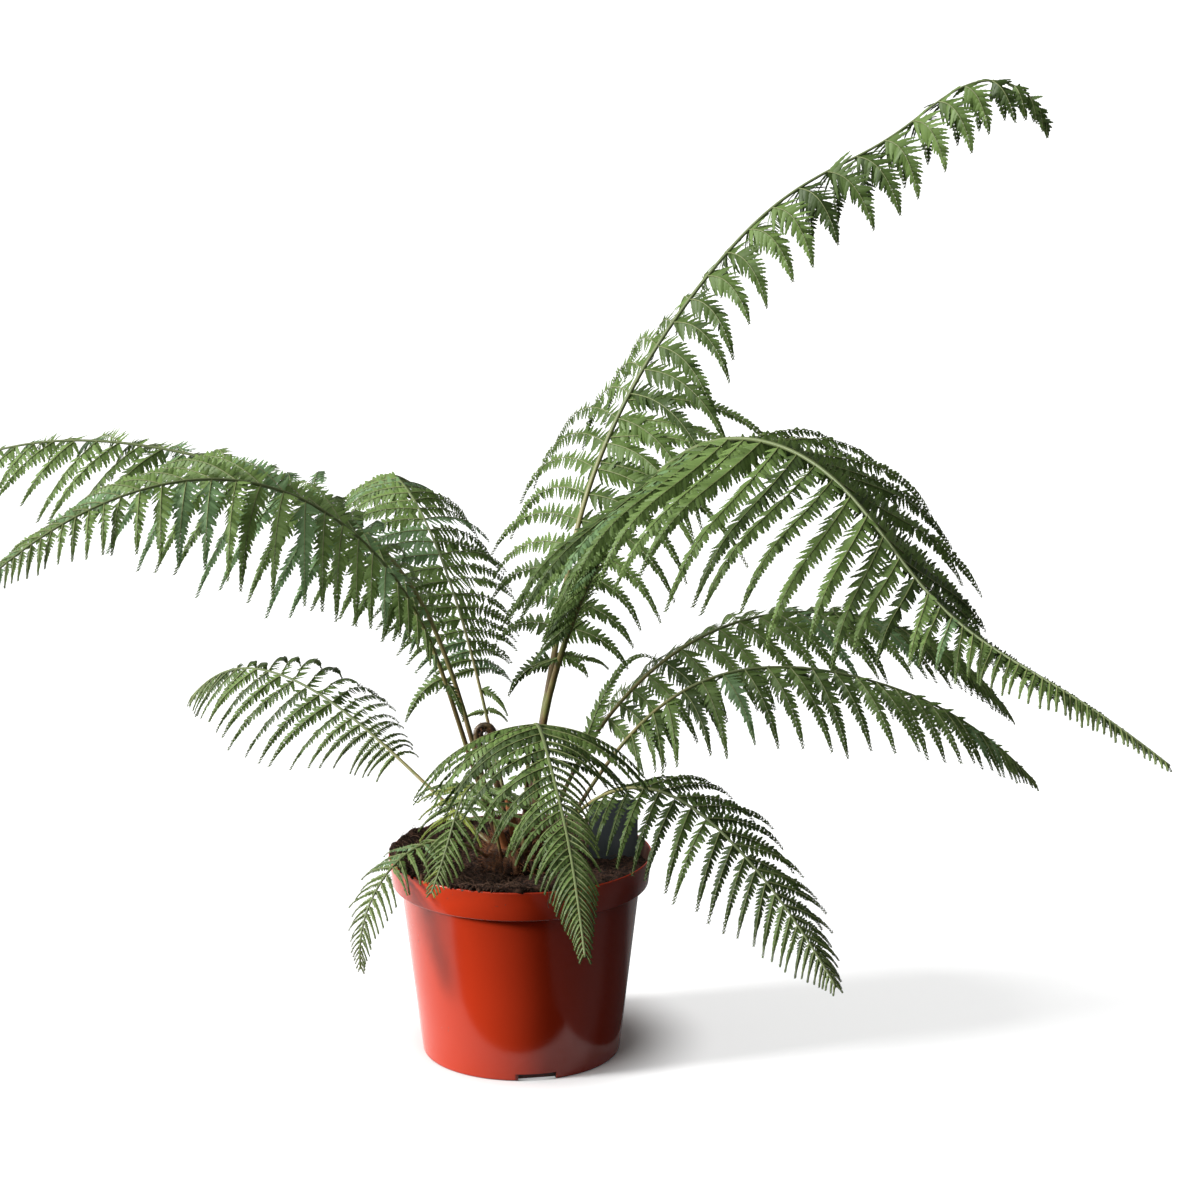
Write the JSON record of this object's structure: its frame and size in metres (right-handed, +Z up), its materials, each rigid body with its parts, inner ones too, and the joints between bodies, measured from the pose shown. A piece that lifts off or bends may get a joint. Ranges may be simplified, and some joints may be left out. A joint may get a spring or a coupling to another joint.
{
  "type": "soft tree fern in a nursery pot",
  "caption": "Young soft tree fern with arching pinnate fronds rising from a short fibrous crown, planted in a round tapered plastic nursery pot with a bare label card.",
  "frame": {"origin": "middle of the pot's flat underside", "axes": "+Z up, +Y away from the picture's camera, +X to the picture's right"},
  "size_m": [0.829, 0.7636, 0.6887],
  "materials": {
    "pot_plastic": "gloss",
    "soil": "matte",
    "crown_fibre": "matte",
    "label_plastic": "satin",
    "young_frond": "matte",
    "stalk": "satin",
    "frond": "satin"
  },
  "bodies": {
    "root": {"pot": "pot_plastic", "soil": "soil", "crown": "crown_fibre", "label": "label_plastic", "crozier": "young_frond", "tall_stalk": "stalk", "tall_inner": "frond", "tall_outer": "frond", "right_arch_stalk": "stalk", "right_arch_inner": "frond", "right_arch_outer": "frond", "left_front_stalk": "stalk", "left_front_inner": "frond", "left_front_outer": "frond", "left_back_stalk": "stalk", "left_back_inner": "frond", "left_back_outer": "frond", "back_stalk": "stalk", "back_blade": "frond", "right_back_stalk": "stalk", "right_back_inner": "frond", "right_back_outer": "frond", "right_mid_stalk": "stalk", "right_mid_inner": "frond", "right_mid_outer": "frond", "left_low_stalk": "stalk", "left_low_blade": "frond", "front_stalk": "stalk", "front_inner": "frond", "front_outer": "frond", "front_small_stalk": "stalk", "front_small_blade": "frond", "left_rim_stalk": "stalk", "left_rim_blade": "frond", "right_low_stalk": "stalk", "right_low_inner": "frond", "right_low_outer": "frond"}
  },
  "joints": []
}
